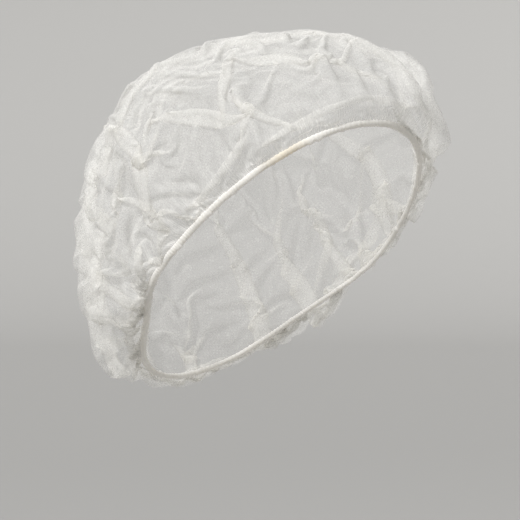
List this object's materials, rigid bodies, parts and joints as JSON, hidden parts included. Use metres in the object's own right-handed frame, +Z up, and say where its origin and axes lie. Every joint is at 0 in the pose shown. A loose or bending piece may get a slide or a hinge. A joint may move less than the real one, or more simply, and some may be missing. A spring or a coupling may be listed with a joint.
{
  "type": "disposable bouffant hair cover cap",
  "caption": "Round disposable hair cover of thin white nonwoven gathered onto an elastic loop, in its puffed worn form, open below for the head",
  "frame": {"origin": "the middle of the head opening, halfway along its slope from the forehead to the nape", "axes": "+Z is up as worn, the wearer faces -Y, and the wearer's left is +X"},
  "size_m": [0.1925, 0.2162, 0.201],
  "materials": {
    "nonwoven": "sheer white spun-bonded polypropylene nonwoven, matt, with fine fibres and point bonds",
    "hem": "the same nonwoven folded over and gathered tight, off-white",
    "elastic": "cream latex-free elastic cord, satin"
  },
  "bodies": {
    "root": {"crown_sheet": "nonwoven", "hem_casing": "hem", "elastic_band": "elastic"}
  },
  "joints": []
}
